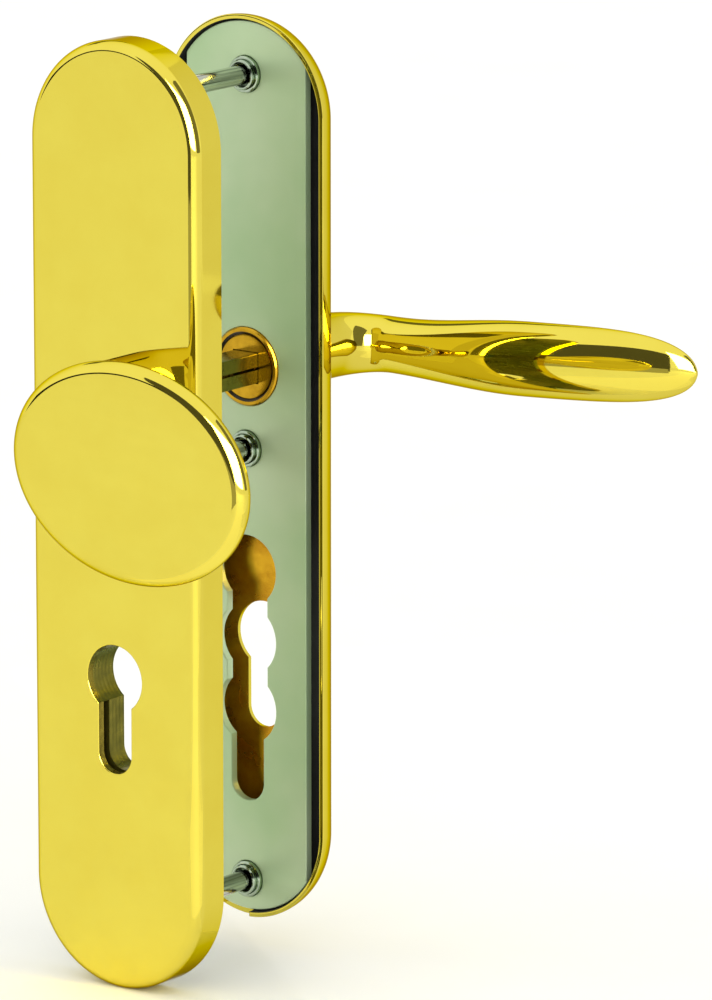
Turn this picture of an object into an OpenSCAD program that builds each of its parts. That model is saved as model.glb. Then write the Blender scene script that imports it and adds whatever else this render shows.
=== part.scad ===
// Door-plate set with a fixed outside knob and an inside lever, cut out for a euro profile cylinder.
// Origin: spindle axis on the door's outside face. +X right as seen from outside, +Y into the room, +Z up.

/* [Door] */
// Thickness of the door between the two plates
door_t = 43; // [40:0.5:60]

/* [Outside plate] */
// Width of the outside plate
out_w = 54; // [50:0.5:60]
// Height of the outside plate
out_h = 245; // [240:0.5:270]
// Height of the plate's top end above the spindle axis
out_rise = 91.5; // [88:0.5:100]
// Depth of the outside plate from the door to its front
out_t = 10.2; // [9:0.1:14]
// Radius of the rounded front edge
out_edge_r = 2.7; // [1:0.1:4]
// Thickness of the cover's front wall
out_front = 2; // [1.5:0.1:2.5]
// Thickness of the cover's side wall
out_wall = 1.6; // [1.2:0.1:3]
// Thickness of the hardened base plate
out_base_t = 6; // [5:0.1:6.5]
// Width of the raised collar round the cylinder's upper part
cyl_collar_w = 2.6; // [1.5:0.1:4]

/* [Inside plate] */
// Width of the inside cover
in_w = 51; // [48:0.5:60]
// Step from the outside plate's top end down to the inside cover's
in_top_step = 0; // [0:0.5:5]
// Step from the outside plate's bottom end up to the inside cover's
in_bottom_step = 7.5; // [0:0.5:10]
// Depth of the inside cover
in_t = 9.5; // [9.2:0.1:14]
// Radius of the cover's rounded edge
in_edge_r = 9; // [4:0.1:9]
// Wall thickness of the inside cover
in_wall = 1.3; // [1:0.1:2]
// Width of the steel base plate
in_base_w = 38.5; // [36:0.5:44]
// Thickness of the steel base plate
in_base_t = 2.2; // [2:0.1:2.5]
// Recess of the base plate behind the cover's rim
in_recess = 1; // [0:0.1:1.5]
// Width of the pry notch in the cover's lower rim
notch_w = 10; // [6:0.5:14]
// Depth of the pry notch
notch_depth = 2.2; // [1:0.1:3]
// Sideways place of the pry notch
notch_x = -4; // [-6:0.5:6]

/* [Cylinder cut-out] */
// Distance from the spindle axis down to the cylinder axis
cyl_drop = 72; // [68:0.5:76]
// Diameter of the cut-out's round part
cyl_d = 17.5; // [17.2:0.1:18]
// Width of the cut-out's slot
cyl_slot_w = 10.5; // [10.2:0.1:11]
// Height of the whole cut-out
cyl_h = 33.5; // [33.2:0.1:34.5]
// Diameter of each lobe of the base plate's cut-out
lobe_d = 18.6; // [18:0.1:20]
// Distance from lobe to lobe
lobe_pitch = 18.3; // [17:0.1:20]
// Width of the necks between the lobes
lobe_neck_w = 13; // [11:0.5:15]

/* [Knob] */
// Width of the knob's oval head
knob_w = 73.5; // [60:0.5:80]
// Height of the knob's oval head
knob_h = 55; // [45:0.5:62]
// Sideways crank of the head from the spindle axis
knob_crank = 44; // [30:0.5:50]
// Height of the head's centre below the spindle axis
knob_lower = 4.5; // [0:0.5:6]
// Turn of the oval head that lowers its far end
knob_tilt = 5.5; // [0:0.5:10]
// Projection of the head's front from the plate
knob_reach = 49.5; // [44:0.5:60]
// Thickness of the head's rounded rim
knob_rim_t = 5; // [4:0.5:12]
// Rise of the head's domed front
knob_dome = 0.5; // [0.3:0.1:3]
// Diameter of the straight neck
knob_neck_d = 21; // [20:0.5:24]
// Length of the straight neck
knob_neck_l = 12; // [10:0.5:16]
// Diameter of the spigot behind the neck
knob_spigot_d = 18; // [17:0.5:19]
// Diameter of the knob's screw
knob_screw_d = 8; // [6:0.5:8]
// Length of the screw inside the knob
knob_screw_l = 12; // [8:0.5:14]
// Diameter of the screw's countersunk head
knob_head_d = 14; // [12:0.5:14]
// Depth of the countersunk head
knob_head_h = 3.2; // [2.5:0.1:3.5]
// Width of the hexagon socket in the knob's screw
knob_key = 5; // [4:0.5:6]
// Diameter of the two dowels that stop the knob turning
dowel_d = 3; // [2:0.1:3]
// Distance of the dowels from the spindle axis
dowel_at = 6.5; // [6.2:0.1:6.8]

/* [Lever] */
// Length of the lever from the spindle axis to its tip
lever_len = 105.4; // [90:0.1:130]
// Distance of the grip's axis from the inside base plate
lever_stand = 45; // [43:0.5:60]
// Height of the grip at its fullest
grip_h = 19.7; // [15:0.1:22]
// Thickness of the grip at its fullest, front to back
grip_t = 14; // [10:0.1:15]
// Distance from the spindle axis where the grip starts to thin, front to back
thin_from = 25; // [18:0.5:45]
// Height of the grip at its waist behind the bend
waist_h = 14.8; // [10:0.1:16]
// Rise of the grip's tip above the spindle axis
grip_rise = 3; // [0:0.1:6]
// Distance by which the grip's tip stands further from the door than its root
grip_out = 6; // [0:0.5:8]
// Length of the grip's rounded end
tip_l = 60; // [20:1:65]
// Radius of the lever's bend
bend_r = 14; // [12:0.5:18]
// Diameter of the neck that turns in the bush
neck_d = 17; // [16:0.1:17.5]
// Diameter of the neck's foot on the cover
foot_d = 24; // [22:0.5:28]
// Diameter of the neck where it meets the bend
stem_d = 17.3; // [16.5:0.1:20]
// Length over which the foot narrows to the stem
foot_l = 11; // [8:0.5:14]
// Angle through which the lever is pressed
lever_swing = 40; // [30:1:45]

/* [Bush and spring] */
// Outside diameter of the bush in the base plate
bush_d = 20.5; // [20:0.1:22]
// Outside diameter of the bush's collar inside the cover
bush_collar_d = 23.6; // [23:0.1:25]
// Height by which the bush stands out of the base plate on the door side
bush_proud = 0.6; // [0.2:0.1:1]
// Diameter of the spring wire
wire_d = 1.4; // [1:0.1:1.4]
// Mean diameter of the spring's coil
coil_d = 26.6; // [26.5:0.1:28]
// Rise of the coil in one turn
coil_pitch = 1.5; // [1.45:0.05:1.6]
// Diameter of the spring's peg and of the stop pin
pin_d = 3; // [2.5:0.1:3]
// Distance of the spring's peg from the spindle axis
peg_at = 18; // [17:0.1:19]
// Depth of the peg's blind seat in the base plate
peg_seat = 1.5; // [1.2:0.1:1.8]
// Height of the snap ring beyond the bush's bore
snap_bite = 0.65; // [0.4:0.05:0.7]
// Thickness of the snap ring
snap_t = 1.1; // [0.8:0.1:1.2]
// Depth of the snap ring's groove in the neck
snap_depth = 0.85; // [0.6:0.05:0.9]
// Width of the glide ring's flange beyond the cover's hole
glide_lip = 1.9; // [1.5:0.1:3]
// Thickness of the glide ring's flange
glide_t = 1.2; // [0.8:0.1:1.5]
// Wall thickness of the glide ring
glide_wall = 1.8; // [1.4:0.1:2.2]

/* [Spindle] */
// Side of the square spindle
spindle_s = 8; // [7:0.5:8]
// Length of the spindle that reaches into the door
spindle_reach = 34; // [28:0.5:36]
// Depth of the spindle's socket in the lever, from the inside base plate
socket_l = 32; // [28:0.5:33]
// Width of the slit that splits the spindle
slit_w = 0.8; // [0.5:0.1:1.2]
// Diameter of the grub screw that holds the spindle
grub_d = 6; // [5:0.5:6]
// Distance of the grub screw from the inside base plate
grub_at = 22; // [20:0.5:24]
// Width of the hexagon socket in the grub screw
grub_key = 3; // [2.5:0.5:3]

/* [Fixing bolts] */
// Diameter of the fixing bolts
bolt_d = 5; // [4.5:0.5:6]
// Inset of the top bolt from the inside cover's top end
bolt_top_inset = 15.5; // [13:0.5:18]
// Distance of the middle bolt below the spindle axis
bolt_mid_drop = 21.5; // [21:0.5:24]
// Inset of the bottom bolt from the inside cover's bottom end
bolt_bottom_inset = 10; // [9:0.5:12]
// Diameter of the bolt heads
bolt_head_d = 10.6; // [9:0.1:11]
// Height of the bolt heads
bolt_head_h = 3.2; // [2.5:0.1:3.5]
// Diameter of the collars and of the posts
collar_d = 9.4; // [9:0.1:10.4]
// Width of the step at the end of a collar
collar_step = 0.8; // [0.4:0.1:1]
// Length of the collars into the door
collar_l = 2.4; // [1.5:0.1:5]
// Distance of the bolt tips from the outside door face
bolt_tip = 2; // [1:0.5:6]
// Width of the hexagon socket in the bolt heads
bolt_key = 4; // [3:0.5:5]
// Length of the posts into the door
post_l = 14; // [10:0.5:18]
// Width of the posts' flange beyond the post
post_lip = 1.5; // [1:0.1:2]
// Thickness of the posts' flange
post_lip_t = 1.4; // [1:0.1:1.6]

/* [Clearances] */
// Radial clearance of turning fits
run_gap = 0.05; // [0.02:0.01:0.1]
// Radial clearance of seated and pressed pieces
seat_gap = 0.05; // [0.02:0.01:0.1]
// Radial clearance of the bolts in their collars
bolt_gap = 0.6; // [0.2:0.05:0.8]
// Free gap between pieces that move past each other
free_gap = 0.2; // [0.15:0.05:0.3]

/* [Hidden] */
$fn = 64;

// Colours
brass = "#d9bf3f";
bush_brass = "#c99a2e";
zinc = "#a9b79a";
steel = "#8d9192";
nylon = "#e8e6dc";

// A cut runs past the face that it opens by this much
over = 1;

// Ends of the plates, bolt heights and inner faces of the front walls
out_top = out_rise;
out_bottom = out_rise - out_h;
in_top = out_top - in_top_step;
in_bottom = out_bottom + in_bottom_step;
bolt_top = in_top - bolt_top_inset;
bolt_mid = -bolt_mid_drop;
bolt_bottom = in_bottom + bolt_bottom_inset;
bolt_heights = [bolt_top, bolt_mid, bolt_bottom];
out_inner = out_t - out_front;
in_front = in_t - in_recess;
in_inner = in_front - in_wall;

// Inner radius of the inside cover's edge, and how far the base plate climbs into it
in_inner_r = max(in_edge_r - in_wall, in_wall / 2);
in_climb = max(0, in_recess + in_base_t - (in_t - in_wall - in_inner_r));

// Fixing bolts, their collars and their posts
bolt_r = bolt_d / 2;
collar_bore_r = bolt_r + bolt_gap;
collar_r = collar_d / 2;

// Knob: straight neck, flare behind the head, half-round rim and domed front
knob_r = knob_neck_d / 2;
rim_r = knob_rim_t / 2;
flare_l = knob_reach - knob_neck_l - knob_rim_t;
flare_power = 1.7;
dowel_z0 = (knob_head_h + out_base_t) / 2 - seat_gap;
dowel_z1 = 2 * out_base_t - knob_head_h;

// Lever: neck in the bush, foot on the glide ring, stem, bend and grip
neck_r = neck_d / 2;
bore_r = neck_r + run_gap;
glide_bore_r = neck_r + 2 * run_gap;
glide_r = glide_bore_r + glide_wall;
foot_z = in_front + glide_t + free_gap;
foot_r = foot_d / 2;
stem_r = stem_d / 2;
bend_z = lever_stand - bend_r;
socket_s = spindle_s + 2 * seat_gap;
tip_least = 0.12;
tip_power = 5;

// Snap ring in matching grooves of the neck and the bush
snap_z = in_base_t / 2;
snap_groove_r = neck_r - snap_depth;
snap_in_r = snap_groove_r + 2 * run_gap;
snap_out_r = bore_r + snap_bite;
snap_open = 30;

// Stop pin, bush collar with the pin's slot, and the spring wound round the collar
bush_top = in_inner - 2 * free_gap;
bush_collar_r = bush_collar_d / 2;
pin_r = pin_d / 2;
wire_r = wire_d / 2;
coil_r = coil_d / 2;
pin_in = socket_s / 2 + pin_r;
pin_out = bush_collar_r - wire_r - 2 * free_gap;
touch = pin_r + wire_r + run_gap;
tang_in = bore_r + wire_r;
tang_turn = asin(touch / tang_in);
tang_at = 180 - tang_turn;
leg_at = 90 + asin(touch / peg_at);
leg_out = peg_at + pin_d;
coil_turn = leg_at - tang_at + 720;
coil_z0 = in_base_t + free_gap + wire_r;
coil_z1 = coil_z0 + coil_pitch * coil_turn / 360;
pin_z = coil_z1 - wire_r;
slot_half = pin_r + run_gap;
slot_floor = pin_z - pin_r - free_gap;
pressed_at = 180 - lever_swing - 2 * tang_turn;

// Sides of the lofted shapes and steps along them
knob_sides = 48;
lever_sides = 36;
wire_sides = 8;
turn_steps = 24;

// Places a shape built on the door face, height along y and depth along z, on the outside of the door
module on_outside() {
    rotate([90, 0, 0]) children();
}

// Places the same kind of shape on the inside, its depth counted from the base plate's door side
module on_inside() {
    translate([0, door_t + in_recess, 0]) mirror([0, 1, 0]) rotate([90, 0, 0]) children();
}

// Cylinder between two depths
module barrel(z0, z1, r) {
    translate([0, 0, z0]) cylinder(h = z1 - z0, r = r);
}

// Hexagon socket of a given key width, cut from one depth to another
module hex_socket(z0, z1, key) {
    translate([0, 0, z0]) cylinder(h = z1 - z0, d = key / cos(30), $fn = 6);
}

// Plate outline with round ends
module long_outline(w, top, bottom) {
    r = w / 2;
    translate([0, top - r]) circle(r);
    translate([0, bottom + r]) circle(r);
    translate([-r, bottom + r]) square([w, top - bottom - w]);
}

// Half of a plate's cross-section with its front edge rounded
module half_section(w, depth, r) {
    square([w / 2 - r, depth]);
    square([w / 2, depth - r]);
    translate([w / 2 - r, depth - r]) intersection() {
        circle(r);
        square(r);
    }
}

// Plate with round ends and a rounded front edge
module long_plate(w, top, bottom, depth, r) {
    low = bottom + w / 2;
    high = top - w / 2;
    translate([0, high, 0]) rotate_extrude(angle = 180) half_section(w, depth, r);
    translate([0, low, 0]) rotate([0, 0, 180]) rotate_extrude(angle = 180) half_section(w, depth, r);
    translate([0, high, 0]) rotate([90, 0, 0]) linear_extrude(high - low) {
        half_section(w, depth, r);
        mirror([1, 0]) half_section(w, depth, r);
    }
}

// Slot of the cylinder's foot: straight sides and a round lower end at a given drop
module foot_slot(drop) {
    foot_r = cyl_slot_w / 2;
    translate([-foot_r, foot_r - drop]) square([cyl_slot_w, drop - foot_r]);
    translate([0, foot_r - drop]) circle(foot_r);
}

// Outline of the cylinder's cut-out, round above and slotted below
module euro_outline() {
    translate([0, -cyl_drop]) {
        circle(d = cyl_d);
        foot_slot(cyl_h - cyl_d / 2);
    }
}

// Outline of the base plate's three-lobed cut-out, with a foot slot under its lowest lobe
module lobed_outline() {
    translate([0, -cyl_drop]) {
        for (i = [-1:1]) translate([0, i * lobe_pitch]) circle(d = lobe_d);
        translate([-lobe_neck_w / 2, -lobe_pitch]) square([lobe_neck_w, 2 * lobe_pitch]);
        foot_slot(lobe_pitch + cyl_h - cyl_d / 2);
    }
}

// Smooth step from 0 to 1
function smooth(t) = t <= 0 ? 0 : t >= 1 ? 1 : t * t * (3 - 2 * t);

// Solid skinned over closed rings that have the same number of points
module loft(rings) {
    n = len(rings[0]);
    last = len(rings) - 1;
    sides = [
        for (i = [0:last - 1], j = [0:n - 1])
            let (a = i * n + j, b = i * n + (j + 1) % n)
                each [[a, b + n, b], [a, a + n, b + n]]
    ];
    caps = [[for (j = [0:n - 1]) j], [for (j = [n - 1:-1:0]) last * n + j]];
    polyhedron(points = [for (ring = rings) each ring], faces = concat(sides, caps));
}

// Brass shell of the outside plate
module outside_cover() {
    color(brass) on_outside() difference() {
        long_plate(out_w, out_top, out_bottom, out_t, out_edge_r);
        translate([0, 0, -over]) linear_extrude(out_inner + over)
            long_outline(out_w - 2 * out_wall, out_top - out_wall, out_bottom + out_wall);
        linear_extrude(out_t + over) euro_outline();
        barrel(0, out_t + over, knob_spigot_d / 2 + seat_gap);
    }
}

// Hardened plate inside the outside cover, with a collar round the cylinder that backs the front wall
module outside_base_plate() {
    inset = out_wall + seat_gap;
    cyl_collar_r = cyl_d / 2 + cyl_collar_w;
    slot_top = sqrt(pow(cyl_d, 2) - pow(cyl_slot_w, 2)) / 2;
    color(steel) on_outside() difference() {
        union() {
            linear_extrude(out_base_t)
                long_outline(out_w - 2 * inset, out_top - inset, out_bottom + inset);
            difference() {
                translate([0, -cyl_drop, 0]) barrel(0, out_inner - seat_gap, cyl_collar_r);
                translate([-out_w / 2, -cyl_drop - slot_top - out_w, out_base_t])
                    cube([out_w, out_w, out_t]);
            }
        }
        translate([0, 0, -over]) linear_extrude(out_t + over) euro_outline();
        for (y = bolt_heights) translate([0, y, 0])
            barrel(-over, out_base_t + over, collar_r + seat_gap);
        barrel(-over, out_base_t + over, knob_screw_d / 2 + seat_gap);
        screw_cone(seat_gap);
        dowels(seat_gap);
    }
}

// Threaded post riveted into the outside base plate, flanged on its front side
module threaded_post(y) {
    color(steel) on_outside() translate([0, y, 0]) difference() {
        union() {
            barrel(-post_l, out_base_t, collar_r);
            barrel(out_base_t, out_base_t + post_lip_t, collar_r + post_lip);
        }
        barrel(-post_l - over, out_base_t, bolt_r + seat_gap);
    }
}

// Countersunk head of the knob's screw, widened by a gap where it is cut
module screw_cone(gap) {
    cylinder(h = knob_head_h, r1 = knob_head_d / 2 + gap, r2 = knob_screw_d / 2 + gap);
}

// Two dowels beside the knob's screw, widened by a gap where they are cut
module dowels(gap) {
    for (side = [-1, 1]) translate([side * dowel_at, 0, 0])
        barrel(dowel_z0 - gap, dowel_z1 + gap, dowel_d / 2 + gap);
}

// Oval ring of the knob at one depth, shifted by a share of the crank
function knob_ring(z, share, half_w, half_h) = [
    for (i = [0:knob_sides - 1])
        let (a = 360 * i / knob_sides)
            [
                knob_crank * share + half_w * cos(a) * cos(knob_tilt) + half_h * sin(a) * sin(knob_tilt),
                half_h * sin(a) * cos(knob_tilt) - half_w * cos(a) * sin(knob_tilt) - knob_lower * share,
                z
            ]
];

// Cranked oval knob with the spigot that seats it on the base plate
module fixed_knob() {
    neck_steps = 3;
    flare_steps = 12;
    rim_steps = 8;
    dome_steps = 4;
    half_w = knob_w / 2 - rim_r;
    half_h = knob_h / 2 - rim_r;
    flare_z = out_t + knob_neck_l;
    rim_z = flare_z + flare_l;
    front_z = rim_z + knob_rim_t;
    neck = [for (i = [0:neck_steps]) knob_ring(out_t + knob_neck_l * i / neck_steps, 0, knob_r, knob_r)];
    flare = [
        for (i = [1:flare_steps])
            let (t = i / flare_steps, grow = pow(t, flare_power))
                knob_ring(flare_z + flare_l * t, smooth(t),
                    knob_r + (half_w - knob_r) * grow, knob_r + (half_h - knob_r) * grow)
    ];
    rim = [
        for (i = [1:rim_steps])
            let (a = 180 * i / rim_steps)
                knob_ring(rim_z + rim_r * (1 - cos(a)), 1, half_w + rim_r * sin(a), half_h + rim_r * sin(a))
    ];
    dome = [
        for (i = [1:dome_steps])
            let (s = 1 - i / (dome_steps + 1))
                knob_ring(front_z + knob_dome * (1 - s * s), 1, half_w * s, half_h * s)
    ];
    color(brass) on_outside() difference() {
        union() {
            loft(concat(neck, flare, rim, dome));
            barrel(out_base_t, out_t + over, knob_spigot_d / 2);
        }
        barrel(out_base_t - over, out_base_t + knob_screw_l + over, knob_screw_d / 2 + seat_gap);
        dowels(seat_gap);
    }
}

// Countersunk screw that holds the knob from behind
module knob_screw() {
    color(steel) on_outside() difference() {
        union() {
            screw_cone(0);
            barrel(knob_head_h, out_base_t + knob_screw_l, knob_screw_d / 2);
        }
        hex_socket(-over, knob_key / 2, knob_key);
    }
}

// Dowels that stop the knob from turning
module knob_dowels() {
    color(steel) on_outside() dowels(0);
}

// Brass cover of the inside plate, with a pry notch in its lower rim
module inside_cover() {
    color(brass) on_inside() translate([0, 0, -in_recess]) difference() {
        long_plate(in_w, in_top, in_bottom, in_t, in_edge_r);
        long_plate(in_w - 2 * in_wall, in_top - in_wall, in_bottom + in_wall, in_t - in_wall, in_inner_r);
        translate([notch_x - notch_w / 2, in_bottom - over, -over])
            cube([notch_w, in_w / 4, notch_depth + over]);
        translate([0, 0, in_base_t]) linear_extrude(in_t) euro_outline();
        barrel(in_base_t, in_t + over, glide_r + seat_gap);
    }
}

// Steel base plate of the inside, round-ended to fit the cover and narrower than it
module inside_base_plate() {
    inset = in_wall + in_inner_r - sqrt(pow(in_inner_r, 2) - pow(in_climb, 2)) + seat_gap;
    color(zinc) on_inside() difference() {
        linear_extrude(in_base_t) intersection() {
            long_outline(in_w - 2 * inset, in_top - inset, in_bottom + inset);
            translate([-in_base_w / 2, in_bottom]) square([in_base_w, in_top - in_bottom]);
        }
        translate([0, 0, -over]) linear_extrude(in_base_t + 2 * over) lobed_outline();
        barrel(-over, in_base_t + over, bush_d / 2 + seat_gap);
        for (y = bolt_heights) translate([0, y, 0])
            barrel(-over, in_base_t + over, collar_r + seat_gap);
        translate([0, peg_at, 0]) barrel(in_base_t - peg_seat, in_base_t + over, pin_r + seat_gap);
    }
}

// Outline of the stop pin's slot in the bush collar, as wide as the lever's swing
module swing_outline() {
    reach = 2 * bush_collar_r;
    middle = (180 + pressed_at) / 2;
    for (at = [180, pressed_at]) rotate(at) translate([0, -slot_half]) square([reach, 2 * slot_half]);
    polygon(concat([[0, 0]], [for (at = [180, middle, pressed_at]) reach * [cos(at), sin(at)]]));
}

// Brass bush in which the lever's neck turns, with the stop pin's slot in its collar
module lever_bush() {
    groove_half = snap_t / 2 + run_gap;
    color(bush_brass) on_inside() difference() {
        union() {
            barrel(-bush_proud, in_base_t, bush_d / 2);
            barrel(in_base_t, bush_top, bush_collar_r);
        }
        barrel(-bush_proud - over, bush_top + over, bore_r);
        barrel(snap_z - groove_half, snap_z + groove_half, snap_out_r + 2 * run_gap);
        translate([0, 0, slot_floor]) linear_extrude(in_t) swing_outline();
    }
}

// Open ring that keeps the lever in its bush
module snap_ring() {
    color(steel) on_inside() translate([0, 0, snap_z - snap_t / 2])
        rotate_extrude(angle = 360 - snap_open)
            translate([snap_in_r, 0]) square([snap_out_r - snap_in_r, snap_t]);
}

// Nylon ring that guides the lever's neck in the cover
module glide_ring() {
    color(nylon) on_inside() difference() {
        union() {
            barrel(bush_top + free_gap, in_front, glide_r);
            barrel(in_front, in_front + glide_t, glide_r + glide_lip);
        }
        barrel(bush_top, in_front + glide_t + over, glide_bore_r);
    }
}

// Point at a radius, angle and depth
function polar(r, at, z) = [r * cos(at), r * sin(at), z];

// Path of the spring wire: leg past the peg, coil, and tang into the stop pin's slot
function spring_path() =
    let (
        steps = ceil(turn_steps * coil_turn / 360),
        ease = 360 / turn_steps,
        bend = 1.5 * wire_d
    )
    concat(
        [polar(leg_out, leg_at, coil_z0), polar(coil_r + bend, leg_at, coil_z0)],
        [
            for (i = [0:steps])
                let (t = i / steps, at = leg_at - ease - (coil_turn - 2 * ease) * t)
                    polar(coil_r, at, coil_z0 + (coil_z1 - coil_z0) * t)
        ],
        [polar(coil_r - bend, tang_at, coil_z1), polar(tang_in, tang_at, coil_z1)]
    );

// Ring of wire round one point of a path, square to the path
function wire_ring(path, i) =
    let (
        ahead = path[min(i + 1, len(path) - 1)] - path[max(i - 1, 0)],
        side = cross(ahead, [0, 0, 1]) / norm(cross(ahead, [0, 0, 1])),
        up = cross(side, ahead) / norm(ahead)
    )
    [
        for (j = [0:wire_sides - 1])
            let (a = 360 * j / wire_sides)
                path[i] + wire_r * (cos(a) * side + sin(a) * up)
    ];

// Torsion spring that lifts the lever back to level
module return_spring() {
    path = spring_path();
    color(steel) on_inside() loft([for (i = [0:len(path) - 1]) wire_ring(path, i)]);
}

// Peg on the base plate that holds the spring's fixed leg
module spring_peg() {
    color(steel) on_inside() translate([0, peg_at, 0])
        barrel(in_base_t - peg_seat, in_inner - 2 * free_gap, pin_r);
}

// Ring of the lever at one place on its axis, square to a direction turned towards the tip
function lever_ring(x, y, z, turn, half_t, half_h) = [
    for (i = [0:lever_sides - 1])
        let (a = 360 * i / lever_sides, out = half_t * cos(a))
            [x + out * cos(turn), y + half_h * sin(a), z - out * sin(turn)]
];

// Lever with its neck, bored for the spindle, stop pin and grub screw
module lever_handle() {
    stem_steps = 6;
    bend_steps = 8;
    grip_steps = 18;
    fullest = 0.44;
    groove_half = snap_t / 2 + run_gap;
    stem = [
        for (i = [0:stem_steps])
            let (
                z = foot_z + (bend_z - foot_z) * i / stem_steps,
                r = foot_r + (stem_r - foot_r) * smooth((z - foot_z) / foot_l)
            )
            lever_ring(0, 0, z, 0, r, r)
    ];
    bend = [
        for (i = [1:bend_steps])
            let (t = i / bend_steps, turn = 90 * t, share = smooth(t))
                lever_ring(bend_r * (1 - cos(turn)), 0, bend_z + bend_r * sin(turn), turn,
                    stem_r + (grip_t / 2 - stem_r) * share, stem_r + (waist_h / 2 - stem_r) * share)
    ];
    grip = [
        for (i = [1:grip_steps])
            let (
                t = sin(90 * i / grip_steps),
                x = bend_r + (lever_len - bend_r) * t,
                tip = max(0, x - lever_len + tip_l) / tip_l,
                end = max(tip_least, sqrt(1 - pow(tip, tip_power))),
                thin = max(0, x - thin_from) / (lever_len - thin_from),
                half_t = grip_t / 2 * max(tip_least, sqrt(1 - thin * thin)),
                half_h = waist_h / 2 + (grip_h - waist_h) / 2 * smooth(t / fullest)
            )
            lever_ring(x, grip_rise * smooth(t), lever_stand + grip_out * t * t, 90, half_t, half_h * end)
    ];
    color(brass) on_inside() difference() {
        union() {
            barrel(-bush_proud / 2, foot_z + over, neck_r);
            loft(concat(stem, bend, grip));
        }
        translate([-socket_s / 2, -socket_s / 2, -bush_proud])
            cube([socket_s, socket_s, socket_l + bush_proud]);
        difference() {
            barrel(snap_z - groove_half, snap_z + groove_half, neck_r + over);
            barrel(snap_z - snap_t, snap_z + snap_t, snap_groove_r);
        }
        translate([0, 0, pin_z]) rotate([0, -90, 0]) barrel(pin_in, neck_r + over, pin_r + seat_gap);
        translate([0, 0, grub_at]) rotate([90, 0, 0]) barrel(0, foot_d, grub_d / 2 + seat_gap);
    }
}

// Square spindle, split from its door end to the inside cover
module square_spindle() {
    length = spindle_reach + socket_l - free_gap;
    color(bush_brass) on_inside() translate([0, 0, -spindle_reach]) difference() {
        translate([-spindle_s / 2, -spindle_s / 2, 0]) cube([spindle_s, spindle_s, length]);
        translate([-spindle_s, -slit_w / 2, -over])
            cube([2 * spindle_s, slit_w, spindle_reach + in_t + over]);
    }
}

// Grub screw under the lever's stem that clamps the spindle
module grub_screw() {
    color(steel) on_inside() translate([0, 0, grub_at]) rotate([90, 0, 0]) difference() {
        barrel(socket_s / 2, stem_r - seat_gap, grub_d / 2);
        hex_socket(stem_r - grub_key / 2, stem_r + over, grub_key);
    }
}

// Pin in the lever's neck that swings in the bush collar's slot
module stop_pin() {
    color(steel) on_inside() translate([0, 0, pin_z]) rotate([0, -90, 0])
        barrel(pin_in + seat_gap, pin_out, pin_r);
}

// Bolt from the inside base plate into a post of the outside plate
module fixing_bolt(y) {
    head_z = in_base_t + bolt_head_h;
    color(steel) on_inside() translate([0, y, 0]) difference() {
        union() {
            barrel(bolt_tip - door_t, in_base_t, bolt_r);
            barrel(in_base_t, head_z, bolt_head_d / 2);
        }
        hex_socket(head_z - bolt_key / 2, head_z + over, bolt_key);
    }
}

// Stepped collar pressed into the inside base plate round a bolt
module bolt_collar(y) {
    color(zinc) on_inside() translate([0, y, 0]) difference() {
        union() {
            barrel(-collar_l, 0, collar_r - collar_step);
            barrel(-collar_l / 2, in_base_t, collar_r);
        }
        barrel(-collar_l - over, in_base_t + over, collar_bore_r);
    }
}

outside_cover();
outside_base_plate();
threaded_post(bolt_top);  // threaded_post_top
threaded_post(bolt_mid);  // threaded_post_middle
threaded_post(bolt_bottom);  // threaded_post_bottom
fixed_knob();
knob_screw();
knob_dowels();
inside_cover();
inside_base_plate();
lever_bush();
snap_ring();
glide_ring();
return_spring();
spring_peg();
lever_handle();
square_spindle();
grub_screw();
stop_pin();
fixing_bolt(bolt_top);  // fixing_bolt_top
fixing_bolt(bolt_mid);  // fixing_bolt_middle
fixing_bolt(bolt_bottom);  // fixing_bolt_bottom
bolt_collar(bolt_top);  // bolt_collar_top
bolt_collar(bolt_mid);  // bolt_collar_middle
bolt_collar(bolt_bottom);  // bolt_collar_bottom
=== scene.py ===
import logging
import math
from collections.abc import Callable, Iterator, Sequence
from contextlib import contextmanager
from dataclasses import dataclass, field, replace
from enum import Enum

import bmesh
import bpy
from mathutils import Euler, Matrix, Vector


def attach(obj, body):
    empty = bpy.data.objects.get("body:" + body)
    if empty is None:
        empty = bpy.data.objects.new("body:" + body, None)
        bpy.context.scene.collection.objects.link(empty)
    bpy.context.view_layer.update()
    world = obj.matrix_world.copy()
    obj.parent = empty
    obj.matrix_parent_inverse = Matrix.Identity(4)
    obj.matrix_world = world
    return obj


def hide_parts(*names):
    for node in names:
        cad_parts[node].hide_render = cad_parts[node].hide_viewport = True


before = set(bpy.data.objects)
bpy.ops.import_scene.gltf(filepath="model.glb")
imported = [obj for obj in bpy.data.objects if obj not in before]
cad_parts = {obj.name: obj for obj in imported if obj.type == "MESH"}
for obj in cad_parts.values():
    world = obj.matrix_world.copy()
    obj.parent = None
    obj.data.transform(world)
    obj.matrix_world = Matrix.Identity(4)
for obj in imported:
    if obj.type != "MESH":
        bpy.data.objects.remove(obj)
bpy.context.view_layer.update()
LOG = logging.getLogger("door_plate_set")
# One millimetre in metres. Sizes are in millimetres unless they say otherwise.
MM = 0.001
# How close to a plane, and to the wall of a cut-out, a corner counts as lying on it.
NEAR = 0.01
WALL_NEAR = 0.05
# Corners closer than this are merged.
MERGE = 0.02
# How far a cutter runs past what it cuts.
CLEAR = 4.0
# Least angle, in degrees, of an edge that gets broken.
SHARP = 60.0
# Corners of a plate's outline.
OUTLINE_SIDES = 192
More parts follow.
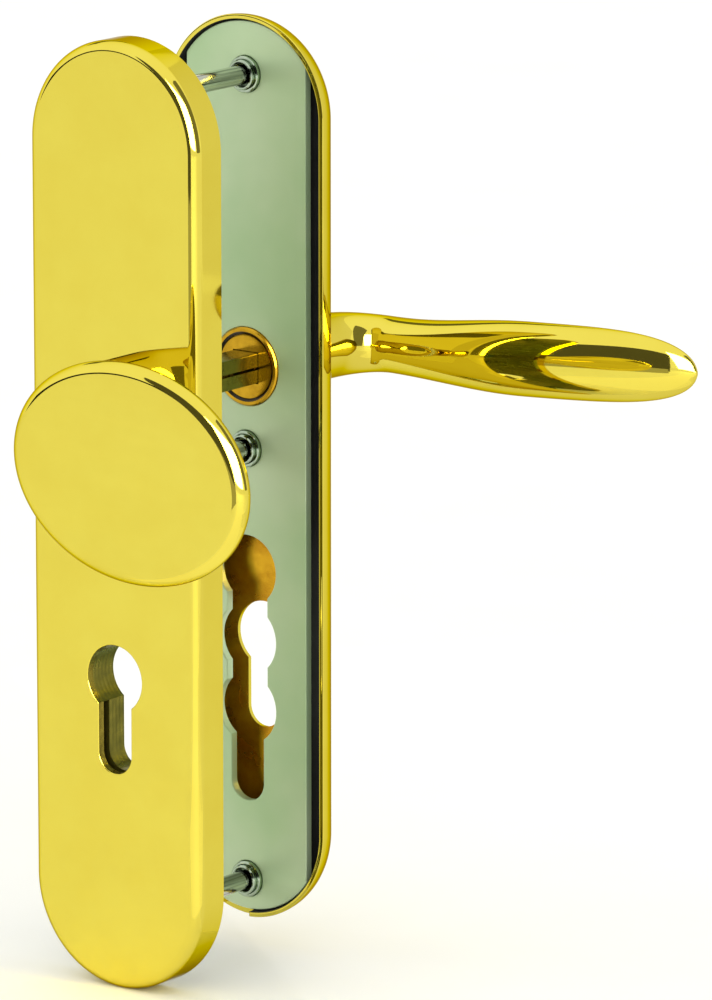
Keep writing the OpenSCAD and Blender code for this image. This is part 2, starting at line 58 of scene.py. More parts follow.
# Part of the noise's range that the two tones and the gloss are spread over.
CLOUD_SPAN = (0.2, 0.8)
PLACES = ("top", "middle", "bottom")
STEEL_PIECES = ("inside_base_sheet", *[f"{kind}_{place}_turned" for kind in ("fixing_bolt", "bolt_collar")
                                       for place in PLACES])
Point = tuple[float, float, float]
Profile = Sequence[tuple[float, float]]


class Kind(Enum):
    """Mesh elements that can be picked in edit mode."""

    VERT = "verts"
    EDGE = "edges"
    FACE = "faces"


class Side(Enum):
    """Which way along Y a plate looks: away from the room or into it."""

    OUTSIDE = -1
    INSIDE = 1


class Grain(Enum):
    """Marks that making leaves on a surface."""

    NONE = "none"
    TURNED = "RINGS"
    LATHED = "BANDS"


class Body(Enum):
    """Moving bodies of the set."""

    PLATES = "plates"
    LEVER = "lever"


def mm(*values: float) -> Point:
    """Turns millimetres into metres."""
    return tuple(value * MM for value in values)


def smooth_step(share: float) -> float:
    """Eases a share from 0 to 1."""
    held = min(1.0, max(0.0, share))
    return held * held * (3 - 2 * held)


def steps(count: int) -> list[float]:
    """Lists where equal steps from 0 to 1 end."""
    return [(i + 1) / count for i in range(count)]


def hex_colour(code: str) -> tuple[float, float, float, float]:
    """Turns an sRGB hex code into linear red, green, blue and alpha."""
    parts = [int(code[i:i + 2], 16) / 255 for i in (1, 3, 5)]
    return (*[c / 12.92 if c <= 0.04045 else ((c + 0.055) / 1.055) ** 2.4 for c in parts], 1.0)


@dataclass(frozen=True)
class Ring:
    """One cross-section of a lofted piece: centre and half sizes in millimetres, turns in degrees."""

    centre: Point
    half_w: float
    half_h: float
    turn: float = 0.0
    tilt: float = 0.0


class Workpiece:
    """A mesh on the bench, worked with Blender's own modelling operators."""

    def __init__(self, name: str) -> None:
        """Takes the name that the finished piece gets."""
        self.name = name
        self.obj: bpy.types.Object | None = None

    def add(self, primitive: Callable[..., set[str]], **settings: object) -> "Workpiece":
        """Adds a primitive, as a new object at first and into its mesh later.

        Args:
            primitive: One of the primitive operators.
            settings: Its sizes and place, in metres and radians.

        Returns:
            This workpiece.
        """
        if self.obj is None:
            bpy.ops.object.select_all(action="DESELECT")
            primitive(**settings)
            self.obj = bpy.context.active_object
            self.rename(self.name)
            bpy.ops.object.transform_apply(location=True, rotation=True, scale=True)
        else:
            with self.editing():
                bpy.ops.mesh.select_all(action="DESELECT")
                primitive(**settings)
        return self

    def rename(self, name: str) -> None:
        """Names the piece, its object and its mesh."""
        self.name = self.obj.name = self.obj.data.name = name

    @contextmanager
    def editing(self) -> Iterator[None]:
        """Opens this piece alone in edit mode and closes it again."""
        self.alone()
        bpy.ops.object.mode_set(mode="EDIT")
        yield
        bpy.ops.object.mode_set(mode="OBJECT")

    def alone(self) -> None:
        """Makes this piece the only selected one and the active one."""
        bpy.ops.object.select_all(action="DESELECT")
        self.obj.select_set(True)
        bpy.context.view_layer.objects.active = self.obj

    def unpicked(self, kind: Kind) -> bmesh.types.BMesh:
        """Unpicks everything, in edit mode, and hands out the mesh for picking one kind of element."""
        bpy.ops.mesh.select_mode(type=kind.name)
        bpy.ops.mesh.select_all(action="DESELECT")
        return bmesh.from_edit_mesh(self.obj.data)

    def pick(self, kind: Kind, inside: Callable[[Vector], bool], sharp: float = 0.0,
             finish: "Finish | None" = None, which: Callable[..., bool] = all) -> None:
        """Selects the elements that lie in a place.

        Args:
            kind: Vertices, edges or faces.
            inside: Test of a corner's place in millimetres.
            sharp: Least angle in degrees between the faces at a picked edge.
            finish: Finish of a picked face, if any.
            which: Whether all or any of its corners have to lie there.
        """
        mesh = self.unpicked(kind)
        for element in getattr(mesh, kind.value):
            corners = [element] if kind is Kind.VERT else element.verts
            if not which(inside(corner.co / MM) for corner in corners):
                continue
            if sharp and element.calc_face_angle(0.0) < math.radians(sharp):
                continue
            if finish is not None and element.material_index != self.slot_of(finish):
                continue
            element.select_set(True)
        mesh.select_flush_mode()
        bmesh.update_edit_mesh(self.obj.data)

    def pick_all(self) -> None:
        """Selects the whole mesh, in edit mode."""
        bpy.ops.mesh.select_all(action="SELECT")

    def slot_of(self, finish: "Finish") -> int:
        """Finds the number of a finish among the piece's material slots."""
        return self.obj.data.materials.find(finish.name)

    def give(self, finish: "Finish") -> None:
        """Gives the picked faces one of the piece's finishes, in edit mode."""
        self.obj.active_material_index = self.slot_of(finish)
        bpy.ops.object.material_slot_assign()

    def slide(self, by: Point) -> None:
        """Moves what is picked by millimetres, in edit mode."""
        bpy.ops.transform.translate(value=mm(*by))

    def extrude(self, by: Point) -> None:
        """Extrudes the whole mesh by millimetres, in edit mode."""
        self.pick_all()
        bpy.ops.mesh.extrude_region_move(TRANSFORM_OT_translate={"value": mm(*by)})

    def bevel(self, width: float, segments: int) -> None:
        """Rounds the picked edges, in edit mode."""
        bpy.ops.mesh.bevel(offset=width * MM, segments=segments, profile=0.5, affect="EDGES")

    def pick_rings(self, first: int, sides: int) -> None:
        """Selects the edges of two neighbouring rings of a loft.

        Args:
            first: Number of the first of the two, in the order they were added.
            sides: Corners of each ring.
        """
        mesh = self.unpicked(Kind.EDGE)
        mesh.verts.index_update()
        for edge in mesh.edges:
            here, there = (corner.index // sides for corner in edge.verts)
            edge.select_set(here == there and here in (first, first + 1))
        bmesh.update_edit_mesh(self.obj.data)

    def loft(self, rings: Sequence[Ring], sides: int) -> "Workpiece":
        """Adds a circle for each ring, squeezes it to its shape and bridges it to the one before.

        Args:
            rings: Cross-sections in order along the piece.
            sides: Corners of each ring.

        Returns:
            This workpiece, with both ends closed.
        """
        for ring in rings:
            centre = mm(*ring.centre)
            self.add(bpy.ops.mesh.primitive_circle_add, vertices=sides, radius=ring.half_w * MM,
                     location=centre, rotation=(math.pi / 2, 0, -math.radians(ring.turn)))
            with self.editing():
                if ring is rings[0]:
                    self.pick_all()
                bpy.ops.transform.resize(value=(1, 1, ring.half_h / ring.half_w), center_override=centre)
                if ring.tilt:
                    bpy.ops.transform.rotate(value=-math.radians(ring.tilt), orient_axis="Y",
                                             center_override=centre)
        with self.editing():
            for first in range(len(rings) - 1):
                self.pick_rings(first, sides)
                bpy.ops.mesh.bridge_edge_loops()
            bpy.ops.mesh.select_all(action="DESELECT")
            bpy.ops.mesh.select_non_manifold()
            bpy.ops.mesh.edge_face_add()
            self.turn_outwards()
        return self

    def turn_up(self, profile: Profile, sides: int = 64) -> "Workpiece":
        """Draws a profile corner by corner and spins it about the Y axis.

        Args:
            profile: Radius and depth of each corner, from axis to axis or all round a hollow piece.
            sides: Steps of the spin.

        Returns:
            This workpiece.
        """
        if profile[0][0]:
            profile = [*profile, profile[0]]
        self.add(bpy.ops.mesh.primitive_plane_add, size=MM)
        with self.editing():
            bpy.ops.mesh.select_mode(type="VERT")
            self.pick_all()
            bpy.ops.mesh.merge(type="CENTER")
            self.slide((*profile[0], 0))
            for (r0, y0), (r1, y1) in zip(profile, profile[1:]):
                bpy.ops.mesh.extrude_vertices_move(TRANSFORM_OT_translate={"value": mm(r1 - r0, y1 - y0, 0)})
            self.merge()
        self.modify("SCREW", axis="Y", angle=2 * math.pi, screw_offset=0.0, steps=sides, render_steps=sides,
                    use_merge_vertices=True, merge_threshold=MERGE * MM)
        with self.editing():
            self.turn_outwards()
        return self

    def turn_outwards(self) -> None:
        """Turns all faces outwards, in edit mode."""
        self.pick_all()
        bpy.ops.mesh.normals_make_consistent(inside=False)

    def merge(self) -> None:
        """Merges corners that lie together, in edit mode."""
        self.pick_all()
        bpy.ops.mesh.remove_doubles(threshold=MERGE * MM)

    def modify(self, kind: str, **settings: object) -> "Workpiece":
        """Adds a modifier with its settings and applies it."""
        self.alone()
        modifier = self.obj.modifiers.new(kind.title(), kind)
        for key, value in settings.items():
            setattr(modifier, key, value)
        bpy.ops.object.modifier_apply(modifier=modifier.name)
        return self

    def cut(self, *cutters: "Workpiece") -> None:
        """Cuts other workpieces out of this one and scraps them."""
        for cutter in cutters:
            self.modify("BOOLEAN", operation="DIFFERENCE", solver="EXACT", object=cutter.obj)
            bpy.data.meshes.remove(cutter.obj.data)

    def join(self, other: "Workpiece") -> "Workpiece":
        """Joins another workpiece into this mesh."""
        self.alone()
        other.obj.select_set(True)
        bpy.ops.object.join()
        return self

    def copy(self, name: str, shift: Point) -> "Workpiece":
        """Copies this piece with a mesh of its own.

        Args:
            name: Name of the copy.
            shift: How far the copy's mesh moves, in millimetres.

        Returns:
            The copy.
        """
        self.alone()
        bpy.ops.object.duplicate(linked=False)
        twin = Workpiece(name)
        twin.obj = bpy.context.active_object
        twin.rename(name)
        with twin.editing():
            twin.pick_all()
            twin.slide(shift)
        return twin

    def paint(self, *finishes: "Finish") -> "Workpiece":
        """Gives the piece its material slots in order."""
        for finish in finishes:
            self.obj.data.materials.append(finish.material())
        return self

    def settle(self, body: Body, slot: str, node: str, angle: float = 32.0) -> None:
        """Smooths the piece's shading and puts it on its body in place of its CAD node.

        Args:
            body: Body that it moves with.
            slot: Not used.
            node: CAD node that it stands for.
            angle: Faces that meet at less than this many degrees are shaded as one.
        """
        self.alone()
        bpy.ops.object.shade_smooth_by_angle(angle=math.radians(angle))
        self.modify("WEIGHTED_NORMAL", keep_sharp=True, weight=90)
        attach(self.obj, body.value)
        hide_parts(node)
        LOG.info("%s: %d faces on %s", self.name, len(self.obj.data.polygons), body.value)


def set_inputs(node: bpy.types.Node, **values: object) -> None:
    """Sets a node's inputs by name, with underscores for spaces."""
    for key, value in values.items():
        node.inputs[key.replace("_", " ")].default_value = value


def add_node(tree: bpy.types.NodeTree, kind: str, links: dict[str, object] | None = None,
             **settings: object) -> bpy.types.Node:
    """Adds a shader node with its settings and links.

    Args:
        tree: Node tree that gets it.
        kind: Blender's name of the node type.
        links: Input names with the output socket that feeds each.
        settings: Node properties, or input values by name, with underscores for spaces.

    Returns:
        The node.
    """
    node = tree.nodes.new(kind)
    for key, value in settings.items():
        if hasattr(node, key):
            setattr(node, key, value)
        else:
            set_inputs(node, **{key: value})
    for name, source in (links or {}).items():
        tree.links.new(source, node.inputs[name])
    return node


@dataclass(frozen=True)
class Finish:
    """A metal or plastic surface: two tones, a cloudy pattern between them and its gloss.

    The grain is what a tool left on it, and drawn_out how far the pattern is stretched along Y.
    """

    name: str
    tone: str
    second_tone: str
    metallic: float
    rough_low: float
    rough_high: float
    cloud_mm: float
    grain: Grain = Grain.NONE
    grain_mm: float = 1.0
    grain_depth_mm: float = 0.0
    subsurface: float = 0.0
    edge_tone: str = "#ffffff"
    drawn_out: float = 1.0

    def material(self) -> bpy.types.Material:
        """Builds the material once: cloudy tone and gloss, and the tool's marks as a fine bump.

        Returns:
            The material, the same one each time.
        """
        if self.name in bpy.data.materials:
            return bpy.data.materials[self.name]
        material = bpy.data.materials.new(self.name)
        material.use_nodes = True
        tree = material.node_tree
        shader = tree.nodes["Principled BSDF"]
        set_inputs(shader, Metallic=self.metallic, Subsurface_Weight=self.subsurface,
                   Specular_Tint=hex_colour(self.edge_tone))
        place = add_node(tree, "ShaderNodeTexCoord").outputs["Object"]
        along = add_node(tree, "ShaderNodeMapping", {"Vector": place}, Scale=(1.0, 1 / self.drawn_out, 1.0))
        cloud = add_node(tree, "ShaderNodeTexNoise", {"Vector": along.outputs["Vector"]},
                         Scale=1 / (self.cloud_mm * MM), Detail=3.0, Roughness=0.55).outputs["Fac"]
        tone = add_node(tree, "ShaderNodeValToRGB", {"Fac": cloud})
        tone.color_ramp.interpolation = "EASE"
        low, high = CLOUD_SPAN
        first, second = tone.color_ramp.elements
        first.position, first.color = low, hex_colour(self.tone)
        second.position, second.color = high, hex_colour(self.second_tone)
        tree.links.new(tone.outputs["Color"], shader.inputs["Base Color"])
        gloss = add_node(tree, "ShaderNodeMapRange", {"Value": cloud}, interpolation_type="SMOOTHSTEP",
                         From_Min=low, From_Max=high, To_Min=self.rough_low, To_Max=self.rough_high)
        tree.links.new(gloss.outputs["Result"], shader.inputs["Roughness"])
        if self.grain is not Grain.NONE:
            # At scale s, a wave repeats every pi / (10 s) metres.
            marks = add_node(tree, "ShaderNodeTexWave", {"Vector": place}, wave_type=self.grain.value,
                             rings_direction="Y", bands_direction="Y",
                             Scale=math.pi / (10 * self.grain_mm * MM), Distortion=0.6, Detail=1.0)
            bump = add_node(tree, "ShaderNodeBump", {"Height": marks.outputs["Fac"]}, Strength=0.5,
                            Distance=self.grain_depth_mm * MM)
            tree.links.new(bump.outputs["Normal"], shader.inputs["Normal"])
        return material


@dataclass(frozen=True)
class Finishes:
    """All finishes of the set."""

    # Mirror-polished brass: lemon yellow with sharp reflections and a faint haze from polishing.
    brass: Finish = Finish("mirror_polished_brass", "#e2d255", "#dfcd50", 1.0, 0.025, 0.045, 14.0,
                           edge_tone="#b09a30")
    # Milled edges of the cut-outs: the same brass, dulled by the cutter, so nothing shows sharply in them.
    milled_brass: Finish = Finish("milled_brass_edge", "#9c8c34", "#7e7028", 1.0, 0.22, 0.32, 2.0)
    # Inner face of the pressed covers, left as drawn: a deep orange-brown that glows where light gets in.
    drawn_brass: Finish = Finish("drawn_brass_unpolished", "#dcac2a", "#b87e1c", 1.0, 0.2, 0.3, 6.0)
    # Painted shade: matt black on the inside cover's inner walls and edges, so the gap beside the base plate
    # is black.
    scale: Finish = Finish("annealing_scale_on_brass", "#0d1014", "#07090c", 0.0, 0.55, 0.7, 4.0)
    # Turned brass of bush and neck: more orange than the covers. The tool's rings are drawn coarser
    # than the real 0.1 mm, because those are too fine to show.
    turned: Finish = Finish("lathe_turned_brass", "#cca02a", "#b48a20", 1.0, 0.14, 0.2, 3.0,
                            Grain.TURNED, 0.5, 0.004)
    # Painted shade: a dark matt tone in the groove between bush and neck, giving a dark ring round the neck.
    groove_shade: Finish = Finish("dark_bearing_grease", "#241a10", "#17110a", 0.0, 0.25, 0.35, 2.0)
    # Yellow-passivated square bar: dull olive brass with drawn marks.
    spindle: Finish = Finish("yellow_passivated_steel", "#887e2e", "#6e6c28", 0.95, 0.2, 0.3, 4.0,
                             Grain.LATHED, 0.9, 0.006)
    # Zinc-plated sheet steel: green-grey passivation in soft clouds with a satin gloss.
    zinc: Finish = Finish("zinc_plated_sheet_steel", "#c4d6b2", "#aac898", 0.32, 0.3, 0.38, 40.0)
    # Hardened plate, yellow-passivated: dull olive brass, with the layers of its cut edges.
    hardened: Finish = Finish("yellow_passivated_hardened_steel", "#8c8432", "#646020", 0.85, 0.24, 0.36, 5.0,
                              Grain.LATHED, 1.4, 0.06)
    # Ground bright steel of collars, posts and screws: grey-green and glossy, ground marks drawn coarse.
    steel: Finish = Finish("ground_bright_steel", "#b6c4b0", "#9aaa96", 1.0, 0.1, 0.16, 3.0,
                           Grain.LATHED, 0.7, 0.004)
    # Bright bolt steel: streaks along the bolt that are partly coarsened drawing marks and partly painted
    # reflection, near-white and near-black for a polished cylinder's light and dark bands.
    reflection_streaked_steel: Finish = Finish("cold_drawn_bright_steel", "#fbfff5", "#1c241e", 1.0, 0.1, 0.16, 1.2,
                                 drawn_out=60.0)
    # Oiled spring wire: dark grey with a soft gloss.
    wire: Finish = Finish("oiled_spring_steel", "#5d605e", "#464947", 1.0, 0.25, 0.4, 2.0)
    # Moulded nylon: milky, and lets a little light in.
    nylon: Finish = Finish("moulded_nylon", "#ece8da", "#e0dac8", 0.0, 0.4, 0.5, 3.0, subsurface=0.15)
    # Matt white board of the floor: pale, without any gloss.
    board: Finish = Finish("matt_white_board", "#f4f4f2", "#f1f1ef", 0.0, 0.8, 0.9, 60.0)
    # Black card, before any glow: matt, so that polished pieces only mirror its darkness.
    card: Finish = Finish("matt_black_card", "#0a0a08", "#070706", 0.0, 0.9, 0.95, 20.0)


FINISH = Finishes()


def round_ended(name: str, width: float, top: float, bottom: float, y: float, side: Side) -> Workpiece:
    """Makes a round-ended plate outline: a circle whose upper and lower halves are pulled apart.

    Args:
        name: Name of the piece.
        width: Width over the straight sides.
        top: Height of the upper end.
        bottom: Height of the lower end.
        y: Depth of the face.
        side: Way that the face looks.

    Returns:
        The outline as one face.
    """
    piece = Workpiece(name).add(
        bpy.ops.mesh.primitive_circle_add, vertices=OUTLINE_SIDES, radius=width / 2 * MM, fill_type="NGON",
        location=mm(0, y, 0), rotation=(-side.value * math.pi / 2, math.pi / OUTLINE_SIDES, 0))
    with piece.editing():
        piece.pick(Kind.VERT, lambda p: p.z > 0)
        piece.slide((0, 0, top - width / 2))
        piece.pick(Kind.VERT, lambda p: p.z < 0)
        piece.slide((0, 0, bottom + width / 2))
    return piece


def drill(x: float, z: float, radius: float, y0: float, y1: float, sides: int = 96) -> Workpiece:
    """Makes a round cutter along Y, with its axis at x and z, from depth y0 to depth y1."""
    return Workpiece("cutter").add(
        bpy.ops.mesh.primitive_cylinder_add, vertices=sides, radius=radius * MM, depth=(y1 - y0) * MM,
        location=mm(x, (y0 + y1) / 2, z), rotation=(math.pi / 2, math.pi / sides, 0))


def block(low: Point, high: Point) -> Workpiece:
    """Makes a box, as a cutter or a bar.

    Args:
        low: Lowest corner.
        high: Highest corner.

    Returns:
        The box.
    """
    middle = mm(*[(a + b) / 2 for a, b in zip(low, high)])
    piece = Workpiece("cutter").add(bpy.ops.mesh.primitive_cube_add, size=1.0, location=middle)
    with piece.editing():
        piece.pick_all()
        bpy.ops.transform.resize(value=mm(*[b - a for a, b in zip(low, high)]), center_override=middle)
    return piece


def dress(node: str, finish: Finish) -> None:
    """Gives a CAD node that stays in view its finish."""
    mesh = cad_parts[node].data
    mesh.materials.clear()
    mesh.materials.append(finish.material())
    LOG.info("%s: dressed in %s", node, finish.name)


@dataclass
class CylinderCutout:
    """Euro profile cut-out: a round part over a slot."""

    drop: float = 72.0
    diameter: float = 17.5
    slot_width: float = 10.5
    height: float = 33.5
    slot_sides: int = 64

    def slot(self, y0: float, y1: float, rise: float, foot: float) -> Workpiece:
        """Makes the slot's cutter from a round bar whose upper half is pulled up.

        Args:
            y0: Depth where it starts.
            y1: Depth where it ends.
            rise: Height of its upper end.
            foot: Height of its lower end.

        Returns:
            The cutter.
        """
        radius = self.slot_width / 2
        low = foot + radius
        bar = drill(0, low, radius, y0, y1, self.slot_sides)
        with bar.editing():
            bar.pick(Kind.VERT, lambda p: p.z > low)
            bar.slide((0, 0, rise - low))
        return bar

    def cutters(self, y0: float, y1: float) -> list[Workpiece]:
        """Makes the two cutters of the cut-out between two depths."""
        foot = -self.drop - self.height + self.diameter / 2
        return [drill(0, -self.drop, self.diameter / 2, y0, y1), self.slot(y0, y1, -self.drop, foot)]

    def hugs(self, p: Vector) -> bool:
        """Tells whether a place lies on the wall of the cut-out."""
        foot = -self.drop - self.height + (self.diameter + self.slot_width) / 2
        from_round = math.hypot(p.x, p.z + self.drop) - self.diameter / 2
        from_slot = math.hypot(p.x, min(0.0, p.z - foot)) - self.slot_width / 2
        return min(abs(from_round), abs(from_slot)) < WALL_NEAR

    def around(self, p: Vector) -> bool:
        """Tells whether a place lies in or near the cut-out."""
        return abs(p.x) < self.diameter and -self.drop - self.height < p.z < -self.drop + self.diameter


@dataclass
class Plate:
    """What both plates have: a pressed cover, the cylinder's cut-out and three fixing places."""

    side: Side
    width: float
    bottom: float
    rim_y: float
    depth: float
    edge_r: float
    edge_steps: int
    wall: float
    top: float = 91.5
    rim_break: float = 0.3
    rim_steps: int = 3
    heights: tuple[float, ...] = (76.0, -21.5, -136.0)
    cutout: CylinderCutout = field(default_factory=CylinderCutout)

    def pressed(self, name: str, *finishes: Finish) -> Workpiece:
        """Presses an open cover: outline, depth, rounded front edge and wall.

        Args:
            name: Name of the cover.
            finishes: Finishes of its outer face, of its inner face and of what is picked later.

        Returns:
            The cover without its holes.
        """
        way = self.side.value
        piece = round_ended(name, self.width, self.top, self.bottom, self.rim_y, self.side).paint(*finishes)
        with piece.editing():
            piece.extrude((0, way * self.depth, 0))
            piece.pick(Kind.FACE, lambda p: way * (p.y - self.rim_y) < NEAR)
            bpy.ops.mesh.delete(type="ONLY_FACE")
            piece.pick(Kind.EDGE, lambda p: way * (p.y - self.rim_y) > self.depth - NEAR)
            piece.bevel(self.edge_r, self.edge_steps)
        return piece.modify("SOLIDIFY", thickness=self.wall * MM, offset=-1.0, use_even_offset=True,
                            material_offset=1)

    def break_cutout(self, piece: Workpiece) -> None:
        """Breaks the cut-out's edge in the cover's front, in edit mode."""
        front = self.rim_y + self.side.value * self.depth
        piece.pick(Kind.EDGE, lambda p: self.cutout.around(p) and abs(p.y - front) < NEAR, sharp=SHARP)
        piece.bevel(self.rim_break, self.rim_steps)

    def repeat(self, blank: Workpiece, node: str) -> None:
        """Copies a turned piece to the three fixing places.

        Args:
            blank: The piece on the Y axis, scrapped once it is copied.
            node: Start of the CAD nodes' names.
        """
        for place, height in zip(PLACES, self.heights):
            twin = blank.copy(f"{node}_{place}_turned", (0, 0, height))
            twin.settle(Body.PLATES, "steel", f"{node}_{place}")
        bpy.data.meshes.remove(blank.obj.data)


@dataclass
class OutsidePlate(Plate):
    """Brass cover of the outside, on its hardened plate with three threaded posts."""

    side: Side = Side.OUTSIDE
    width: float = 54.0
    bottom: float = -153.5
    rim_y: float = 0.0
    depth: float = 10.2
    edge_r: float = 2.7
    edge_steps: int = 12
    wall: float = 1.6
    front_wall: float = 2.0
    hole_r: float = 9.05
    post_r: float = 4.7
    post_bore_r: float = 2.55
    post_l: float = 14.0
    post_break: float = 0.6
    bore_break: float = 0.5
    flange_r: float = 6.2
    flange_t: float = 1.4
    base_t: float = 6.0

    def build(self) -> None:
        """Builds the cover and the posts and dresses the plate behind them."""
        self.cover()
        self.repeat(self.post(), "threaded_post")
        dress("outside_base_plate", FINISH.hardened)

    def cover(self) -> None:
        """Presses the cover, thickens its front and cuts the cylinder's cut-out and the knob's hole."""
        piece = self.pressed("outside_cover_shell", FINISH.brass, FINISH.drawn_brass, FINISH.milled_brass)
        with piece.editing():
            piece.pick(Kind.VERT, lambda p: abs(p.y + self.depth - self.wall) < NEAR)
            piece.slide((0, self.front_wall - self.wall, 0))
        y0 = -self.depth - CLEAR
        piece.cut(*self.cutout.cutters(y0, CLEAR), drill(0, 0, self.hole_r, y0, CLEAR))
        with piece.editing():
            piece.merge()
            piece.pick(Kind.FACE, lambda p: self.cutout.around(p) and self.cutout.hugs(p))
            piece.give(FINISH.milled_brass)
            self.break_cutout(piece)
        piece.settle(Body.PLATES, "polished_brass", "outside_cover")

    def post(self) -> Workpiece:
        """Turns one flanged post with broken edges.

        Returns:
            The post on the Y axis.
        """
        out, bore, end = self.post_r, self.post_bore_r, self.post_l
        seat = -self.base_t
        back = seat - self.flange_t
        profile = [(bore, seat), (bore, end - self.bore_break), (bore + self.bore_break, end),
                   (out - self.post_break, end), (out, end - self.post_break), (out, seat),
                   (self.flange_r, seat), (self.flange_r, back), (bore, back)]
        return Workpiece("threaded_post_blank").turn_up(profile).paint(FINISH.steel)


@dataclass
class Knob:
    """Fixed oval knob, cranked sideways on a round neck."""

    width: float = 73.5
    height: float = 55.0
    crank: float = 44.0
    lower: float = 4.5
    tilt: float = 5.5
    reach: float = 49.5
    rim_t: float = 5.0
    roll_r: float = 3.6
    roll_until: float = 60.0
    dome: float = 0.5
    hub: float = 0.0476
    neck_d: float = 21.0
    neck_l: float = 12.0
    neck_break: float = 0.3
    seat: float = 0.05
    flare_power: float = 1.7
    plate_front: float = OutsidePlate.depth
    spigot_r: float = 9.0
    spigot_depth: float = 6.0
    sides: int = 72
    neck_steps: int = 4
    flare_steps: int = 16
    rim_steps: int = 7
    roll_steps: int = 14
    front_steps: int = 8

    def ring(self, depth: float, share: float, half_w: float, half_h: float) -> Ring:
        """Makes the knob's ring at one depth, carried a share of the way to the head."""
        return Ring((self.crank * share, -depth, -self.lower * share), half_w, half_h, tilt=self.tilt)

    def rings(self) -> list[Ring]:
        """Lists the rings of spigot, neck, flare, rim and domed front.

        Returns:
            The rings from the plate to the front.
        """
        neck, rim, front = self.neck_d / 2, self.rim_t / 2, self.plate_front
        full_w, full_h = self.width / 2, self.height / 2
        flare_0 = front + self.neck_l
        flare_l = self.reach - self.neck_l - self.rim_t
        rim_0 = flare_0 + flare_l
        rings = [self.ring(d, 0, r, r) for d, r in (
            (self.spigot_depth, self.spigot_r), (front - 2 * self.seat, self.spigot_r),
            (front - self.seat, neck - self.neck_break), (front, neck), (front + self.neck_break, neck))]
        for share in steps(self.neck_steps):
            rings.append(self.ring(front + self.neck_l * share, 0, neck, neck))
        for share in steps(self.flare_steps):
            grow = share ** self.flare_power
            rings.append(self.ring(flare_0 + flare_l * share, smooth_step(share),
                                   neck + (full_w - rim - neck) * grow, neck + (full_h - rim - neck) * grow))
        for share in steps(self.rim_steps):
            angle = math.pi / 2 * share
            drop = rim * (1 - math.sin(angle))
            rings.append(self.ring(rim_0 + rim * (1 - math.cos(angle)), 1, full_w - drop, full_h - drop))
        for share in steps(self.roll_steps):
            drop, forth = self.front_edge(90 - 90 * share)
            rings.append(self.ring(rim_0 + rim + forth, 1, full_w - drop, full_h - drop))
        edge, _ = self.front_edge(0)
        for step in steps(self.front_steps):
            share = 1 - (1 - self.hub) * step
            rings.append(self.ring(rim_0 + self.rim_t + self.dome * (1 - share * share), 1,
                                   (full_w - edge) * share, (full_h - edge) * share))
        return rings

    def front_edge(self, lean: float) -> tuple[float, float]:
        """Finds a place on the rim's front edge: a tight turn at the outside that opens into a wide roll.

        Args:
            lean: Degrees from the knob's front at which the surface looks there, from 90 down to 0.

        Returns:
            How far the place lies inside the outline, and how far in front of the rim's widest ring.
        """
        turn = self.rim_t - self.roll_r
        a, joint = math.radians(lean), math.radians(self.roll_until)
        held = max(a, joint)
        drop, forth = turn * (1 - math.sin(held)), turn * math.cos(held)
        if a < joint:
            drop += self.roll_r * (math.sin(joint) - math.sin(a))
            forth += self.roll_r * (math.cos(a) - math.cos(joint))
        return drop, forth

    def build(self) -> None:
        """Lofts the knob, smooths it and dresses what fastens it."""
        piece = Workpiece("fixed_knob_cast").loft(self.rings(), self.sides).paint(FINISH.brass)
        piece.modify("SUBSURF", levels=1, render_levels=1)
        piece.settle(Body.PLATES, "polished_brass", "fixed_knob", angle=60)
        dress("knob_screw", FINISH.steel)
        dress("knob_dowels", FINISH.steel)


